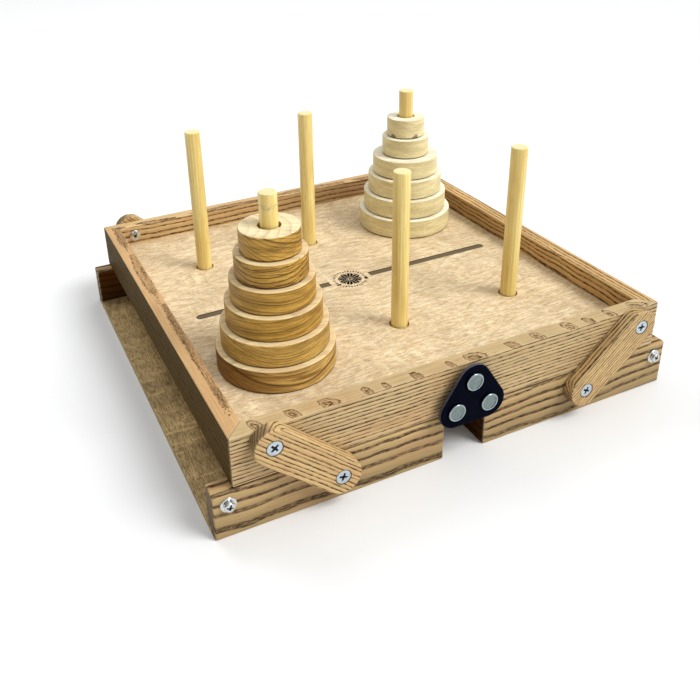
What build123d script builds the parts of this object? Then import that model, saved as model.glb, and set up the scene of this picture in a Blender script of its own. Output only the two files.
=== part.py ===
from build123d import *
from math import atan2, degrees, hypot, sqrt
import os

# Travel tower of Hanoi for two players. A square ash tray carries a recessed deck with two
# rows of three loose pegs, and a tower of six discs on one peg of each row. Two half-lids hang
# on wooden links: folded over the top they close the case, and folded under the tray they are
# its feet. They are modelled in that open position, with everything ready for play.
#
# Millimetres. X runs along the front of the tray, Y towards the back and Z up. The origin is on
# the table, below the middle of the tray.

# ---- Driving dimensions: tray and lids
case_side = 320.0        # length and width of the square tray
rail_t = 12.0            # thickness of every ash rail
tray_h = 35.0            # height of the tray rails
lid_h = 34.0             # height of the lid rails
lid_length = 157.5       # along X, so the shut lids leave 5 mm between them
tray_lift = 1.2          # air between the lid rims and the tray when open
shut_gap = 0.3           # air between the lid rims and the tray when shut
edge_r = 1.0             # eased long edges of the rails
corner_r = 1.6           # eased upright corners of the frames

# ---- Panels
deck_drop = 16.6         # top of the deck below the tray's rim
deck_t = 6.0
base_t = 4.0             # tray base and lid panels
groove = 5.0             # how far the panels are let into the rails
panel_play = 0.1         # air round a panel in its groove

# ---- Pegs and discs
peg_d = 12.0
peg_up = 117.2           # height of a free peg above the deck
tower_peg_up = 122.0     # height of the two pegs that carry the towers
peg_pitch_x = 95.8
peg_row_y = 76.4
deck_hole_d = 14.5
socket_d = 12.2          # hole in the batten that holds a peg upright
batten_w = 30.0
batten_length = 286.0
batten_chamfer = 2.0
peg_top_r = 0.8
peg_foot_chamfer = 1.0
disc_t = 16.5
disc_pitch = 16.6        # one disc and the air under it
disc_bore_d = 15.0
smallest_disc_d = 32.0
disc_step_d = 8.1        # difference between one size and the next
disc_edge_r = 0.9
bore_chamfer = 0.4
seat_air = 0.1           # under a peg, and under the bottom disc of a tower
front_sizes = (1, 2, 3, 4, 5, 6)    # size numbers from the top disc down
back_sizes = (0, 1, 3, 4, 5, 6)

# ---- Burnt line along the middle of the deck
line_w = 6.5
line_depth = 0.3
line_end_x = 128.0
line_right_start_x = 17.5
line_left_start_x = 31.0
dash_x = (-26.5, -17.5)

# ---- Links and their connector bolts
link_w = 25.0
link_t = 9.0
link_air = 0.4           # between a link and the rails
pivot_inset = 24.0       # tray pivot from the end of the tray
pivot_drop = 8.6         # tray pivot below the tray's rim
lid_pivot_drop = 10.4    # lid pivot below the lid's rim
lid_pivot_out = 77.8     # lid pivot from the outer face of the lid's end wall
barrel_r = 3.0
bolt_r = 2.0
bolt_head_r = 4.8
nut_head_r = 5.0
nut_head_t = 1.9
nut_rim_t = 0.5          # straight edge of the nut's dome
dome_bend = (0.7, 0.78)  # middle of the dome's curve, as parts of its radius and height
barrel_short = 3.2       # barrel end below the link's outer face
bolt_sunk = 0.1          # bolt head below the link's outer face
bolt_start = 5.0         # tip of the bolt from the rail's inner face
bore_start = 3.0         # floor of the nut's threaded bore from the rail's inner face
countersink_air = 0.3
cross_w = 1.3
cross_length = 5.4
cross_depth = 1.5
running_play = 0.05

# ---- Leather tab and snap fasteners
snap_drop = 9.5          # snap centres below the tray's rim, and below the lid's rim
snap_spread = 12.3       # lower snaps each side of the middle
stud_flange_r = 5.2
stud_ball_r = 3.4
stud_h = 3.8             # how far a stud stands out of the rail
stud_shank = 9.5         # depth of a stud's screw in the rail
stud_point = 2.0
stud_rim_t = 0.5
stud_flange_t = 1.0
stud_flange_slope = 0.6  # flat rim that the flange's top slopes away from
stud_waist = 0.5         # waist radius less than the ball's
stud_neck_h = 1.5
stud_bulge_h = 2.5       # height of the ball's widest place
stud_crown = 0.7         # top radius less than the ball's
stud_cross = (1.0, 4.2)
tab_r = 12.0             # radius of the tab round each snap
tab_t = 2.6
tab_stand_off = 4.8      # back of the leather from the rail
tab_edge_r = 0.4
hole_or_bend = 12.0      # edges of the leather longer than this are its outline
cap_r = 6.25
cap_t = 1.4
cap_dome = 0.1           # rise of the cap's face from its rim
cap_rim = 1.2
cap_edge_r = 0.8
post_r = 1.7
web_t = 0.8
socket_r = 5.6
socket_rim = 0.7
socket_lip = 0.5
socket_air = 0.25
socket_depth = 2.2       # how far a socket grips over a stud

# ---- Worked out from the driving dimensions
half = case_side / 2
inner_half = half - rail_t
tray_z = lid_h + tray_lift
rim_z = tray_z + tray_h
deck_z = rim_z - deck_drop
deck_low_z = deck_z - deck_t
base_top_z = tray_z + base_t
panel_half = inner_half + groove
pivot_x = half - pivot_inset
pivot_z = rim_z - pivot_drop
lid_pivot_z = lid_h - lid_pivot_drop

# A link has one length, so the lid pivots lie where the open and the shut lid agree on it.
shut_rise = rim_z + shut_gap + lid_pivot_drop - pivot_z
link_length = hypot(lid_pivot_out - pivot_inset, shut_rise)
open_fall = pivot_z - lid_pivot_z
open_run = sqrt(link_length**2 - open_fall**2)
lid_pivot_x = pivot_x - open_run
lid_in_x = lid_pivot_x - lid_pivot_out       # outer face of the lid's end wall
lid_out_x = lid_in_x + lid_length            # open end of the lid
snap_z = rim_z - snap_drop
shut_snap_rise = 2 * snap_drop + shut_gap    # from the tray's stud to the lids' studs when shut
lid_snap_x = lid_out_x - (snap_spread - (half - lid_length))

os.makedirs("parts", exist_ok=True)


def save(part, label):
    """Name a finished piece and write it to its own file."""
    part.label = label
    export_step(part, f"parts/{label}.step")


def facing(x, y, z, side):
    """A plane that holds the Y axis line through a point, with its own Y pointing outwards."""
    return Plane(origin=(x, y, z), x_dir=(1, 0, 0), z_dir=(0, 0, side))


def cross_on(x, y, z, side, turn=20):
    """A plane on a screw head, for its cross recess, with the normal pointing outwards."""
    return Plane(origin=(x, y, z), x_dir=(1, 0, 0), z_dir=(0, side, 0)).rotated((0, 0, turn))


# ---------------- tray frame and panels
with BuildPart() as tray_frame:
    with BuildSketch(Plane.XY.offset(tray_z)):
        RectangleRounded(case_side, case_side, corner_r)
    extrude(amount=tray_h)
    fillet(tray_frame.faces().sort_by(Axis.Z)[-1].edges(), edge_r)
    fillet(tray_frame.faces().sort_by(Axis.Z)[0].edges(), edge_r)
    with BuildSketch(Plane.XY.offset(tray_z)):
        Rectangle(2 * inner_half, 2 * inner_half)
    extrude(amount=tray_h, mode=Mode.SUBTRACT)
    fillet(tray_frame.faces().sort_by(Axis.Z)[-1].inner_wires().edges(), edge_r)
    with BuildSketch(Plane.XY.offset(deck_low_z), Plane.XY.offset(tray_z)):
        Rectangle(2 * panel_half, 2 * panel_half)
    extrude(amount=base_t, mode=Mode.SUBTRACT)
    with BuildSketch(Plane.XY.offset(deck_low_z)):
        Rectangle(2 * panel_half, 2 * panel_half)
    extrude(amount=deck_t, mode=Mode.SUBTRACT)
    with BuildSketch(Plane.XZ):
        with Locations((-pivot_x, pivot_z), (pivot_x, pivot_z)):
            Circle(barrel_r + running_play)
    extrude(amount=half, both=True, mode=Mode.SUBTRACT)
    with BuildSketch(Plane.XZ.offset(inner_half)):
        with Locations((0, snap_z)):
            Circle(bolt_r)
    extrude(amount=rail_t, mode=Mode.SUBTRACT)

for label, turn in (("front", 0), ("right", 90), ("back", 180), ("left", 270)):
    with BuildPart() as tray_rail:
        add(tray_frame.part)
        with BuildSketch(Plane.XY.offset(tray_z).rotated((0, 0, turn))):
            Polygon((0, 0), (-half, -half), (half, -half), align=None)
        extrude(amount=tray_h, mode=Mode.INTERSECT)
    save(tray_rail.part, f"tray_rail_{label}")

with BuildPart() as deck_panel:
    with BuildSketch(Plane.XY.offset(deck_low_z)):
        Rectangle(2 * (panel_half - panel_play), 2 * (panel_half - panel_play))
        with GridLocations(peg_pitch_x, 2 * peg_row_y, 3, 2):
            Circle(deck_hole_d / 2, mode=Mode.SUBTRACT)
    extrude(amount=deck_t)
    with BuildSketch(Plane.XY.offset(deck_z)):
        for start, end in ((-line_end_x, -line_left_start_x), (line_right_start_x, line_end_x)):
            with Locations(((start + end) / 2, 0)):
                Rectangle(end - start - line_w, line_w)
            with Locations((start + line_w / 2, 0), (end - line_w / 2, 0)):
                Circle(line_w / 2)
        for start, end in (dash_x, (line_right_start_x, line_right_start_x + line_w)):
            with Locations(((start + end) / 2, 0)):
                Rectangle(end - start, line_w)
        with Locations((-line_left_start_x - line_w / 2, 0)):
            Rectangle(line_w, line_w)
    extrude(amount=-line_depth, mode=Mode.SUBTRACT)
save(deck_panel.part, "deck_panel")

with BuildPart() as base_panel:
    with BuildSketch(Plane.XY.offset(tray_z)):
        Rectangle(2 * (panel_half - panel_play), 2 * (panel_half - panel_play))
    extrude(amount=base_t)
save(base_panel.part, "tray_base_panel")

for label, side in (("front", -1), ("back", 1)):
    with BuildPart() as batten:
        with BuildSketch(Plane.XY.offset(base_top_z)):
            with Locations((0, side * peg_row_y)):
                Rectangle(batten_length, batten_w)
            with Locations((0, side * peg_row_y)):
                with GridLocations(peg_pitch_x, 1, 3, 1):
                    Circle(socket_d / 2, mode=Mode.SUBTRACT)
        extrude(amount=deck_low_z - base_top_z)
        chamfer(batten.edges().filter_by(Axis.Z).group_by(SortBy.DISTANCE)[-1], batten_chamfer)
    save(batten.part, f"peg_batten_{label}")

# ---------------- half-lids
for label, side in (("left", -1), ("right", 1)):
    middle_x = side * (lid_in_x + lid_out_x) / 2
    with BuildPart() as lid_frame:
        with BuildSketch(Plane.XY):
            with Locations((middle_x, 0)):
                RectangleRounded(lid_length, case_side, corner_r)
        extrude(amount=lid_h)
        fillet(lid_frame.faces().sort_by(Axis.Z)[-1].edges(), edge_r)
        fillet(lid_frame.faces().sort_by(Axis.Z)[0].edges(), edge_r)
        with BuildSketch(Plane.XY):
            with Locations((middle_x + side * rail_t, 0)):
                Rectangle(lid_length, 2 * inner_half)
        extrude(amount=lid_h, mode=Mode.SUBTRACT)
        rim_edges = lid_frame.faces().sort_by(Axis.Z)[-1].edges().filter_by(GeomType.LINE)
        fillet(
            rim_edges.filter_by(lambda e: abs(abs(e.center().Y) - inner_half) < 1e-3)
            + rim_edges.filter_by(lambda e: abs(abs(e.center().X) - lid_in_x - rail_t) < 1e-3),
            edge_r,
        )
        with BuildSketch(Plane.XY):
            with Locations((middle_x + side * (rail_t - groove), 0)):
                Rectangle(lid_length, 2 * panel_half)
        extrude(amount=base_t, mode=Mode.SUBTRACT)
        with BuildSketch(Plane.XZ):
            with Locations((side * lid_pivot_x, lid_pivot_z)):
                Circle(barrel_r + running_play)
        extrude(amount=half, both=True, mode=Mode.SUBTRACT)
        with BuildSketch(Plane.XZ.offset(inner_half)):
            with Locations((side * lid_snap_x, lid_h - snap_drop)):
                Circle(bolt_r)
        extrude(amount=rail_t, mode=Mode.SUBTRACT)

    mitre_tip = (side * (lid_in_x + half), 0)
    near_front = (side * lid_in_x, -half)
    near_back = (side * lid_in_x, half)
    wedges = {
        "rail_front": (mitre_tip, near_front, (side * lid_out_x, -half), (side * lid_out_x, 0)),
        "rail_back": (mitre_tip, near_back, (side * lid_out_x, half), (side * lid_out_x, 0)),
        "end_wall": (mitre_tip, near_front, near_back),
    }
    for piece, wedge in wedges.items():
        with BuildPart() as lid_rail:
            add(lid_frame.part)
            with BuildSketch(Plane.XY):
                Polygon(*wedge, align=None)
            extrude(amount=lid_h, mode=Mode.INTERSECT)
        save(lid_rail.part, f"{label}_lid_{piece}")

    with BuildPart() as lid_panel:
        panel_in_x = lid_in_x + rail_t - groove + panel_play
        with BuildSketch(Plane.XY):
            with Locations((side * (panel_in_x + lid_out_x) / 2, 0)):
                Rectangle(lid_out_x - panel_in_x, 2 * (panel_half - panel_play))
        extrude(amount=base_t)
    save(lid_panel.part, f"{label}_lid_panel")

# ---------------- links
link_angle = degrees(atan2(open_fall, open_run))
link_mid_x = (pivot_x + lid_pivot_x) / 2
link_mid_z = (pivot_z + lid_pivot_z) / 2
link_in_y = half + link_air
link_out_y = link_in_y + link_t
head_wall_r = bolt_head_r + countersink_air

for label, side_x in (("left", -1), ("right", 1)):
    for end, side_y in (("front", -1), ("back", 1)):
        low_plane = link_in_y if side_y < 0 else -link_out_y
        with BuildPart() as link:
            with BuildSketch(Plane.XZ.offset(low_plane)):
                with Locations((side_x * link_mid_x, link_mid_z)):
                    SlotCenterToCenter(link_length, link_w, rotation=side_x * link_angle)
            extrude(amount=link_t)
            fillet(link.faces().filter_by(Axis.Y).edges(), edge_r)
            pivots = ((pivot_x, pivot_z), (lid_pivot_x, lid_pivot_z))
            for x, z in pivots:
                mouth = Plane(origin=(side_x * x, side_y * link_out_y, z), z_dir=(0, side_y, 0))
                with Locations(mouth):
                    CounterSinkHole(
                        radius=barrel_r + running_play,
                        counter_sink_radius=head_wall_r,
                        depth=2 * link_t,
                        counter_sink_angle=90,
                    )
        save(link.part, f"{label}_link_{end}")

# ---------------- connector bolts
# Each pivot is a barrel nut pushed out through the rail and into the link, and a countersunk
# bolt that closes it from outside. Depths are measured outwards from the rail's inner face.
barrel_end = rail_t + link_air + link_t - barrel_short
bolt_top = rail_t + link_air + link_t - bolt_sunk
bolt_neck = bolt_top - (bolt_head_r - bolt_r)
dome_middle = (nut_head_r * dome_bend[0], -nut_head_t * dome_bend[1])

pivot_sets = {
    "tray": [(-pivot_x, pivot_z), (pivot_x, pivot_z)],
    "left_lid": [(-lid_pivot_x, lid_pivot_z)],
    "right_lid": [(lid_pivot_x, lid_pivot_z)],
}
for owner, places in pivot_sets.items():
    seats = [(x, z, side) for x, z in places for side in (-1, 1)]
    with BuildPart() as nuts:
        for x, z, side in seats:
            seat = facing(x, side * inner_half, z, side)
            with BuildSketch(seat):
                with BuildLine():
                    dome = ThreePointArc((0, -nut_head_t), dome_middle, (nut_head_r, -nut_rim_t))
                    Polyline(
                        dome @ 1,
                        (nut_head_r, 0),
                        (barrel_r, 0),
                        (barrel_r, barrel_end),
                        (bolt_r + running_play, barrel_end),
                        (bolt_r + running_play, bore_start),
                        (0, bore_start),
                        dome @ 0,
                    )
                make_face()
            revolve(axis=Axis(seat.origin, seat.y_dir))
        for x, z, side in seats:
            with BuildSketch(cross_on(x, side * (inner_half - nut_head_t), z, -side)):
                Rectangle(cross_w, cross_length)
                Rectangle(cross_length, cross_w)
            extrude(amount=-cross_depth, mode=Mode.SUBTRACT)
    save(nuts.part, f"{owner}_barrel_nuts")

    with BuildPart() as bolts:
        for x, z, side in seats:
            seat = facing(x, side * inner_half, z, side)
            with BuildSketch(seat):
                with BuildLine():
                    Polyline(
                        (0, bolt_start),
                        (bolt_r, bolt_start),
                        (bolt_r, bolt_neck),
                        (bolt_head_r, bolt_top),
                        (0, bolt_top),
                        close=True,
                    )
                make_face()
            revolve(axis=Axis(seat.origin, seat.y_dir))
        for x, z, side in seats:
            with BuildSketch(cross_on(x, side * (inner_half + bolt_top), z, side)):
                Rectangle(cross_w, cross_length)
                Rectangle(cross_length, cross_w)
            extrude(amount=-cross_depth, mode=Mode.SUBTRACT)
    save(bolts.part, f"{owner}_connector_bolts")

# ---------------- snap studs
# A flange on the rail's front face, a waisted ball for the snap, and a shank in the wood.
stud_places = {
    "tray": (0, snap_z),
    "left_lid": (-lid_snap_x, lid_h - snap_drop),
    "right_lid": (lid_snap_x, lid_h - snap_drop),
}
for owner, (x, z) in stud_places.items():
    with BuildPart() as stud:
        seat = facing(x, -half, z, -1)
        with BuildSketch(seat):
            with BuildLine():
                outside = Polyline(
                    (0, -stud_shank),
                    (bolt_r - running_play, stud_point - stud_shank),
                    (bolt_r - running_play, 0),
                    (stud_flange_r, 0),
                    (stud_flange_r, stud_rim_t),
                    (stud_flange_r - stud_flange_slope, 0.9 * stud_flange_t),
                    (stud_ball_r - stud_waist, stud_flange_t),
                    (stud_ball_r - stud_waist, stud_neck_h),
                )
                ball = ThreePointArc(
                    outside @ 1, (stud_ball_r, stud_bulge_h), (stud_ball_r - stud_crown, stud_h)
                )
                Polyline(ball @ 1, (0, stud_h), (0, -stud_shank))
            make_face()
        revolve(axis=Axis(seat.origin, seat.y_dir))
        with BuildSketch(cross_on(x, -half - stud_h, z, -1)):
            Rectangle(stud_cross[0], stud_cross[1])
            Rectangle(stud_cross[1], stud_cross[0])
        extrude(amount=-cross_depth, mode=Mode.SUBTRACT)
    save(stud.part, f"{owner}_snap_stud")

# ---------------- leather tab
low_snap_z = snap_z - shut_snap_rise
tab_snaps = [(0, snap_z), (-snap_spread, low_snap_z), (snap_spread, low_snap_z)]
tab_back_y = -half - tab_stand_off
tab_face_y = tab_back_y - tab_t

with BuildPart() as leather_tab:
    with BuildSketch(Plane.XZ.offset(-tab_back_y)):
        with Locations(*tab_snaps):
            Circle(tab_r)
        make_hull()
        with Locations(*tab_snaps):
            Circle(post_r + running_play, mode=Mode.SUBTRACT)
    extrude(amount=tab_t)
    outline = leather_tab.faces().filter_by(Axis.Y).edges().filter_by(lambda e: e.length > hole_or_bend)
    fillet(outline, tab_edge_r)
save(leather_tab.part, "leather_tab")

with BuildPart() as snap_caps:
    for x, z in tab_snaps:
        seat = facing(x, tab_face_y, z, -1)
        with BuildSketch(seat):
            with BuildLine():
                Polyline(
                    (0, -tab_t - web_t),
                    (post_r, -tab_t - web_t),
                    (post_r, 0),
                    (cap_r, 0),
                    (cap_r, cap_t - cap_dome),
                    (cap_r - cap_rim, cap_t - cap_dome),
                    (0, cap_t),
                    close=True,
                )
            make_face()
        revolve(axis=Axis(seat.origin, seat.y_dir))
    cap_rims = snap_caps.edges().filter_by(GeomType.CIRCLE).filter_by(lambda e: e.radius > socket_r)
    fillet(cap_rims.group_by(Axis.Y)[0], cap_edge_r)
save(snap_caps.part, "tab_snap_caps")

with BuildPart() as snap_sockets:
    for x, z in tab_snaps:
        seat = facing(x, tab_back_y, z, -1)
        mouth = stud_h - tab_stand_off - socket_depth
        with BuildSketch(seat):
            with BuildLine():
                Polyline(
                    (post_r + running_play, 0),
                    (post_r + running_play, -web_t),
                    (stud_ball_r + socket_air, -web_t),
                    (stud_ball_r + socket_air, mouth),
                    (socket_r - socket_rim - socket_lip, mouth),
                    (socket_r - socket_rim, mouth + socket_lip),
                    (socket_r - socket_rim, -1.0),
                    (socket_r, -socket_rim),
                    (socket_r, 0),
                    close=True,
                )
            make_face()
        revolve(axis=Axis(seat.origin, seat.y_dir))
save(snap_sockets.part, "tab_snap_sockets")

# ---------------- pegs
peg_low_z = base_top_z + seat_air
columns = (("left", -peg_pitch_x), ("middle", 0), ("right", peg_pitch_x))
rows = (("front", -peg_row_y), ("back", peg_row_y))
tower_pegs = ("front_left", "back_right")

for row, y in rows:
    for column, x in columns:
        place = f"{row}_{column}"
        peg_top_z = deck_z + (tower_peg_up if place in tower_pegs else peg_up)
        with BuildPart() as peg:
            with BuildSketch(Plane.XY.offset(peg_low_z)):
                with Locations((x, y)):
                    Circle(peg_d / 2)
            extrude(amount=peg_top_z - peg_low_z)
            fillet(peg.faces().sort_by(Axis.Z)[-1].edges(), peg_top_r)
            chamfer(peg.faces().sort_by(Axis.Z)[0].edges(), peg_foot_chamfer)
        save(peg.part, f"peg_{place}")

# ---------------- discs
# Discs are numbered from the top of each tower down.
towers = (
    ("front", -peg_pitch_x, -peg_row_y, front_sizes),
    ("back", peg_pitch_x, peg_row_y, back_sizes),
)
for tower, x, y, sizes in towers:
    for number, size in enumerate(sizes, start=1):
        disc_r = (smallest_disc_d + size * disc_step_d) / 2
        disc_z = deck_z + seat_air + (len(sizes) - number) * disc_pitch
        with BuildPart() as disc:
            with BuildSketch(Plane.XY.offset(disc_z)):
                with Locations((x, y)):
                    Circle(disc_r)
                    Circle(disc_bore_d / 2, mode=Mode.SUBTRACT)
            extrude(amount=disc_t)
            rims = disc.edges().filter_by(GeomType.CIRCLE)
            fillet(rims.filter_by(lambda e: e.radius > disc_bore_d), disc_edge_r)
            bore_rims = disc.edges().filter_by(GeomType.CIRCLE)
            chamfer(bore_rims.filter_by(lambda e: e.radius < disc_bore_d), bore_chamfer)
        save(disc.part, f"{tower}_tower_disc_{number}")
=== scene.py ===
import math
import random

import bmesh
import bpy
from mathutils import Euler, Matrix, Vector


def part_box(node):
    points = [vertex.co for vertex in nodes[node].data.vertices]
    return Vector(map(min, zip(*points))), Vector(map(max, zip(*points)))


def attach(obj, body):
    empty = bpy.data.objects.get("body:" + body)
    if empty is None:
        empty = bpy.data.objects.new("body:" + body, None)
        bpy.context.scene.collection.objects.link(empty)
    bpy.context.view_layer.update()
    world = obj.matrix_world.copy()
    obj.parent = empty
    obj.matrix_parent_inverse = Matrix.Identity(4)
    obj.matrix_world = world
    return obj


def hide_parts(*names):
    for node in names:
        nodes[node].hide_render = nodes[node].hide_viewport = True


# Looks for the folding tower of Hanoi. Lengths are metres, in the frame's own coordinates;
# wood patterns are laid out in millimetres.

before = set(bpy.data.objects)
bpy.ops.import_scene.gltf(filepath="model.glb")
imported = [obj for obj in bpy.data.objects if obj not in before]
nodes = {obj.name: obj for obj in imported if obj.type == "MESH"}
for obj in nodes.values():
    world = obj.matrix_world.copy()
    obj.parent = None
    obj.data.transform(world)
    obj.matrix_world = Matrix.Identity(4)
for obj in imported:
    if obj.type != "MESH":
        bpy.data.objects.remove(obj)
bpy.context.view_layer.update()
scene = bpy.context.scene

MM = 0.001
HALF = (0.5, 0.5, 0.5)     # the middle of a noise colour
SEED_STEP = (61.3, 23.7, 17.9)
MATT_WOOD = 0.2            # specular level of oiled wood
WORN_EDGE = 1.3 * MM       # reach of the pale wear on edges
BOLT_HEAD = 4.8            # mm, the radius of a connector bolt's head


# ------------------------------------------------------------------ shader building
def srgb(red, green, blue):
    """A colour given as 0-255 display values, as the linear colour that shaders take."""
    return tuple((c / 255) ** 2.2 for c in (red, green, blue)) + (1.0,)


class Shader:
    """One material's node tree, with a short call for each kind of node used here."""

    def __init__(self, name):
        self.material = bpy.data.materials.new(name)
        self.material.use_nodes = True
        self.tree = self.material.node_tree
        self.tree.nodes.clear()
        self.surface = self.tree.nodes.new("ShaderNodeBsdfPrincipled")
        output = self.tree.nodes.new("ShaderNodeOutputMaterial")
        self.tree.links.new(self.surface.outputs[0], output.inputs[0])

    def add(self, kind, **settings):
        node = self.tree.nodes.new(kind)
        for key, value in settings.items():
            setattr(node, key, value)
        return node

    def put(self, socket, value):
        """Link a socket into another, or set its value."""
        if isinstance(value, bpy.types.NodeSocket):
            self.tree.links.new(value, socket)
        else:
            socket.default_value = value

    def set(self, **values):
        """Give the surface's sockets, by name with _ for a space, a value or a link."""
        for key, value in values.items():
            self.put(self.surface.inputs[key.replace("_", " ")], value)

    def math(self, operation, a, b=0.0, c=0.0, clamp=False):
        node = self.add("ShaderNodeMath", operation=operation, use_clamp=clamp)
        for socket, value in zip(node.inputs, (a, b, c)):
            self.put(socket, value)
        return node.outputs[0]

    def vector(self, operation, a, b=(0, 0, 0), scale=1.0):
        node = self.add("ShaderNodeVectorMath", operation=operation)
        self.put(node.inputs[0], a)
        if operation == "SCALE":
            self.put(node.inputs["Scale"], scale)
        elif operation != "LENGTH":
            self.put(node.inputs[1], b)
        return node.outputs["Value" if operation == "LENGTH" else "Vector"]

    def split(self, vector):
        node = self.add("ShaderNodeSeparateXYZ")
        self.put(node.inputs[0], vector)
        return node.outputs[0], node.outputs[1], node.outputs[2]

    def join(self, x, y, z):
        node = self.add("ShaderNodeCombineXYZ")
        for socket, value in zip(node.inputs, (x, y, z)):
            self.put(socket, value)
        return node.outputs[0]

    def noise(self, vector, sizes, detail=2.0, roughness=0.5, colour=False):
        """Noise whose features are about the given sizes along the three directions."""
        scaled = self.vector("MULTIPLY", vector, tuple(1 / s for s in sizes))
        node = self.add("ShaderNodeTexNoise", noise_dimensions="3D")
        self.put(node.inputs["Vector"], scaled)
        self.put(node.inputs["Scale"], 1.0)
        self.put(node.inputs["Detail"], detail)
        self.put(node.inputs["Roughness"], roughness)
        return node.outputs["Color" if colour else "Fac"]

    def wander(self, vector, sizes, detail=1.0, roughness=0.5):
        """Vector noise centred on zero, for bending coordinates."""
        return self.vector("SUBTRACT", self.noise(vector, sizes, detail, roughness, colour=True), HALF)

    def random(self, number):
        """A level from 0 to 1 that belongs to a whole number."""
        node = self.add("ShaderNodeTexWhiteNoise", noise_dimensions="1D")
        self.put(node.inputs["W"], number)
        return node.outputs[0]

    def noise_1d(self, value, size, detail=1.0):
        node = self.add("ShaderNodeTexNoise", noise_dimensions="1D")
        self.put(node.inputs["W"], self.math("DIVIDE", value, size))
        self.put(node.inputs["Scale"], 1.0)
        self.put(node.inputs["Detail"], detail)
        return node.outputs["Fac"]

    def step(self, value, low, high):
        """0 below low, 1 above high and smooth between them."""
        node = self.add("ShaderNodeMapRange", interpolation_type="SMOOTHSTEP")
        self.put(node.inputs["Value"], value)
        self.put(node.inputs["From Min"], low)
        self.put(node.inputs["From Max"], high)
        return node.outputs[0]

    def scale(self, value, low, high, to_low, to_high):
        node = self.add("ShaderNodeMapRange")
        limits = {"From Min": low, "From Max": high, "To Min": to_low, "To Max": to_high}
        for key, number in limits.items():
            self.put(node.inputs[key], number)
        self.put(node.inputs["Value"], value)
        return node.outputs[0]

    def profile(self, value, stops):
        """A grey curve through (position, level) stops."""
        node = self.add("ShaderNodeValToRGB")
        ramp = node.color_ramp
        while len(ramp.elements) < len(stops):
            ramp.elements.new(0.5)
        for element, (position, level) in zip(ramp.elements, stops):
            element.position = position
            element.color = (level, level, level, 1)
        self.put(node.inputs[0], value)
        return node.outputs[0]

    def mix(self, factor, a, b, blend="MIX"):
        node = self.add("ShaderNodeMix", data_type="RGBA", blend_type=blend)
        self.put(node.inputs[0], factor)
        self.put(node.inputs[6], a)
        self.put(node.inputs[7], b)
        return node.outputs[2]

    def bump(self, height, depth, strength=1.0):
        node = self.add("ShaderNodeBump")
        self.put(node.inputs["Height"], height)
        self.put(node.inputs["Distance"], depth)
        self.put(node.inputs["Strength"], strength)
        return node.outputs[0]

    def board(self, centre, turn):
        """Coordinates in mm from a board's centre, with the first one along its grain."""
        place = self.add("ShaderNodeMapping", vector_type="TEXTURE")
        self.put(place.inputs["Location"], centre)
        self.put(place.inputs["Rotation"], turn)
        self.put(place.inputs["Scale"], (MM, MM, MM))
        self.put(place.inputs["Vector"], self.add("ShaderNodeTexCoord").outputs["Object"])
        return place.outputs[0]

    def towards(self, direction):
        """How squarely a surface faces along a direction of the frame, -1 to 1."""
        dot = self.add("ShaderNodeVectorMath", operation="DOT_PRODUCT")
        self.put(dot.inputs[0], self.add("ShaderNodeTexCoord").outputs["Normal"])
        self.put(dot.inputs[1], direction)
        return dot.outputs["Value"]

    def facing(self, direction):
        """How squarely a surface faces along a direction of the frame or against it, 0 to 1."""
        return self.math("ABSOLUTE", self.towards(direction))

    def tint(self, colour, shade):
        """Multiply a colour by a grey level."""
        return self.mix(1.0, colour, self.join(shade, shade, shade), "MULTIPLY")

    def away_from(self, first, second, place):
        """Distance of two coordinates from a place given by the same two."""
        gaps = self.math("SUBTRACT", first, place[0]), self.math("SUBTRACT", second, place[1])
        return self.vector("LENGTH", self.join(*gaps, 0.0))

    def edges(self, radius):
        """1 on worn edges and 0 on flat faces."""
        soft = self.add("ShaderNodeBevel", samples=4)
        self.put(soft.inputs["Radius"], radius)
        dot = self.add("ShaderNodeVectorMath", operation="DOT_PRODUCT")
        self.put(dot.inputs[0], soft.outputs[0])
        self.put(dot.inputs[1], self.add("ShaderNodeNewGeometry").outputs["Normal"])
        return self.step(dot.outputs["Value"], 0.995, 0.90)


PORE = srgb(54, 36, 28)
BLUSH = srgb(198, 152, 106)
ALONG_X = (0, 0, 0)
ALONG_Y = (0, 0, math.pi / 2)
ALONG_Z = (0, -math.pi / 2, 0)


def grain_direction(turn):
    return tuple(Euler(turn).to_matrix() @ Vector((1, 0, 0)))


def seed_offset(seed):
    return tuple(seed * step for step in SEED_STEP)


def loop_count(s, along, across, loops, seed):
    """Ring numbers over a face that only grazes the rings, which cuts them into small loops, and the
    loops' insides. loops is (pitch, length, reach across, rings in one, place across), in mm."""
    pitch, length, reach, rings, centre = loops
    drift = s.noise_1d(s.math("ADD", along, seed * SEED_STEP[0]), 1.9 * pitch)
    jitter = s.math("MULTIPLY", s.math("SUBTRACT", drift, 0.5), 1.6)
    place = s.math("ADD", s.math("DIVIDE", along, pitch), jitter)
    size = s.random(s.math("FLOOR", place))
    rag_x, rag_y, _ = s.split(s.wander(s.join(along, across, seed), (2.6, 1.6, 9), 2.0, 0.7))
    x = s.math("MULTIPLY", s.math("SUBTRACT", s.math("FRACT", place), 0.5), pitch / length)
    y = s.math("DIVIDE", s.math("SUBTRACT", across, centre), reach)
    x = s.math("MULTIPLY_ADD", y, 0.45, s.math("MULTIPLY_ADD", rag_x, 1.1, x))
    y = s.math("MULTIPLY_ADD", rag_y, 0.8, y)
    # One flank falls away slowly, so the tongues stay open on that side.
    x = s.math("MULTIPLY", x, s.scale(s.step(x, -0.1, 0.5), 0, 1, 1.25, 0.62))
    spread = s.math("MULTIPLY_ADD", y, y, s.math("MULTIPLY", x, x))
    hump = s.math("EXPONENT", s.math("MULTIPLY", spread, -1.0))
    height = s.math("MULTIPLY", hump, rings)
    count = s.math("MULTIPLY_ADD", height, s.scale(size, 0, 1, 0.55, 1.2), 0.6)
    return count, s.step(hump, 0.3, 0.8)


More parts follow.
